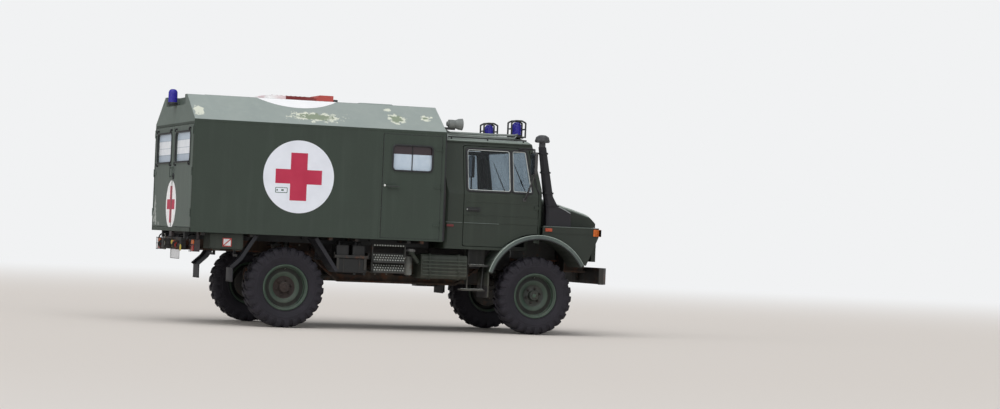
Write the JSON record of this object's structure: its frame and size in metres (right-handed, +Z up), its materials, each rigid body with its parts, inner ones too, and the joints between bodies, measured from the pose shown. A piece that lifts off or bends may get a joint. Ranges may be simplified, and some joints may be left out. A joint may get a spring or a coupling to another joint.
{
  "type": "military ambulance truck",
  "caption": "Military ambulance truck on portal axles, with a hollow cab and ambulance box, opening doors, bonnet and lockers, a folding step and steered front wheels.",
  "frame": {"origin": "On the ground under the middle of the truck's length and width.", "axes": "+X forward, +Y to the truck's left, +Z up; the truck stands on its wheels at z = 0."},
  "size_m": [5.64, 2.69, 2.914],
  "materials": {
    "body_paint": "matte",
    "chassis_paint": "matte",
    "cast_iron": "matte",
    "bare_steel": "satin",
    "glass": "gloss",
    "rubber": "matte",
    "trim": "matte",
    "upholstery": "matte",
    "lamp_lens": "gloss",
    "blue_lens": "gloss"
  },
  "bodies": {
    "root": {"beacons": "blue_lens", "bellows": "rubber", "box_fittings": "trim", "box_glass": "glass", "box_pads": "upholstery", "box_roof": "body_paint", "box_shell": "body_paint", "bumper": "body_paint", "cab_fittings": "trim", "cab_glass": "glass", "cab_shell": "body_paint", "cab_steps": "body_paint", "driveline": "chassis_paint", "engine": "cast_iron", "exhaust": "bare_steel", "frame": "chassis_paint", "front_axle": "chassis_paint", "front_lamps": "lamp_lens", "fuel_tank": "body_paint", "grille": "body_paint", "lockers": "body_paint", "mudguards": "body_paint", "rear_axle": "chassis_paint", "roof_fittings": "body_paint", "seats": "upholstery", "side_gear": "body_paint", "snorkel": "body_paint", "suspension": "chassis_paint", "tail_lamps": "lamp_lens", "tow_beam": "chassis_paint", "wings": "body_paint"},
    "knuckle_left": {"knuckle_left": "chassis_paint"},
    "knuckle_right": {"knuckle_right": "chassis_paint"},
    "cab_door_left": {"cab_door_left": "body_paint", "cab_door_glass_left": "glass", "mirror_left": "trim"},
    "cab_door_right": {"cab_door_right": "body_paint", "cab_door_glass_right": "glass", "mirror_right": "trim"},
    "side_door": {"side_door": "body_paint", "side_door_glass": "glass"},
    "rear_door_left": {"rear_door_left": "body_paint", "rear_door_glass_left": "glass"},
    "rear_door_right": {"rear_door_right": "body_paint", "rear_door_glass_right": "glass"},
    "bonnet": {"bonnet": "body_paint"},
    "locker_lid_left": {"locker_lid_left": "body_paint"},
    "locker_lid_right": {"locker_lid_right": "body_paint"},
    "side_step": {"side_step": "bare_steel"},
    "tie_rod": {"tie_rod": "chassis_paint"},
    "wheel_front_left": {"tyre_front_left": "rubber", "rim_front_left": "body_paint"},
    "wheel_front_right": {"tyre_front_right": "rubber", "rim_front_right": "body_paint"},
    "wheel_rear_left": {"tyre_rear_left": "rubber", "rim_rear_left": "body_paint"},
    "wheel_rear_right": {"tyre_rear_right": "rubber", "rim_rear_right": "body_paint"}
  },
  "joints": [
    {"name": "roll_front_left", "type": "hinge", "parent": "knuckle_left", "child": "wheel_front_left", "pos_m": [1.765, 0.93, 0.494], "axis": [0, 1, 0], "continuous": true},
    {"name": "roll_front_right", "type": "hinge", "parent": "knuckle_right", "child": "wheel_front_right", "pos_m": [1.765, -0.93, 0.494], "axis": [0, 1, 0], "continuous": true},
    {"name": "roll_rear_left", "type": "hinge", "parent": "root", "child": "wheel_rear_left", "pos_m": [-1.485, 0.93, 0.494], "axis": [0, 1, 0], "continuous": true},
    {"name": "roll_rear_right", "type": "hinge", "parent": "root", "child": "wheel_rear_right", "pos_m": [-1.485, -0.93, 0.494], "axis": [0, 1, 0], "continuous": true},
    {"name": "steer_left", "type": "hinge", "parent": "root", "child": "knuckle_left", "pos_m": [1.765, 0.69, 0.632], "axis": [0, 0, 1], "range_deg": [-32, 32]},
    {"name": "cab_door_left", "type": "hinge", "parent": "root", "child": "cab_door_left", "pos_m": [1.765, 1.095, 1.7], "axis": [0, 0, -1], "range_deg": [0, 70]},
    {"name": "rear_door_left", "type": "hinge", "parent": "root", "child": "rear_door_left", "pos_m": [-2.732, 1.14, 1.81], "axis": [0, 0, -1], "range_deg": [0, 110]},
    {"name": "locker_lid_left", "type": "hinge", "parent": "root", "child": "locker_lid_left", "pos_m": [-2.257, 1.111, 0.928], "axis": [-1, 0, 0], "range_deg": [0, 90]},
    {"name": "steer_right", "type": "hinge", "parent": "root", "child": "knuckle_right", "pos_m": [1.765, -0.69, 0.632], "axis": [0, 0, 1], "range_deg": [-32, 32]},
    {"name": "cab_door_right", "type": "hinge", "parent": "root", "child": "cab_door_right", "pos_m": [1.765, -1.095, 1.7], "axis": [0, 0, 1], "range_deg": [0, 70]},
    {"name": "rear_door_right", "type": "hinge", "parent": "root", "child": "rear_door_right", "pos_m": [-2.732, -1.14, 1.81], "axis": [0, 0, 1], "range_deg": [0, 110]},
    {"name": "locker_lid_right", "type": "hinge", "parent": "root", "child": "locker_lid_right", "pos_m": [-2.257, -1.111, 0.928], "axis": [1, 0, 0], "range_deg": [0, 90]},
    {"name": "side_door", "type": "hinge", "parent": "root", "child": "side_door", "pos_m": [0.425, -1.185, 1.8], "axis": [0, 0, 1], "range_deg": [0, 95]},
    {"name": "bonnet", "type": "hinge", "parent": "root", "child": "bonnet", "pos_m": [1.85, 0, 1.745], "axis": [0, -1, 0], "range_deg": [0, 50]},
    {"name": "side_step", "type": "hinge", "parent": "root", "child": "side_step", "pos_m": [-0.19, -1.055, 1.056], "axis": [-1, 0, 0], "range_deg": [0, 55]},
    {"name": "tie_rod", "type": "slide", "parent": "root", "child": "tie_rod", "axis": [0, -1, 0], "range_m": [-0.11, 0.11]}
  ],
  "couplings": [
    {"joint": "steer_right", "follows": "steer_left", "ratio": 1},
    {"joint": "tie_rod", "follows": "steer_left", "m_per_rad": 0.18}
  ]
}
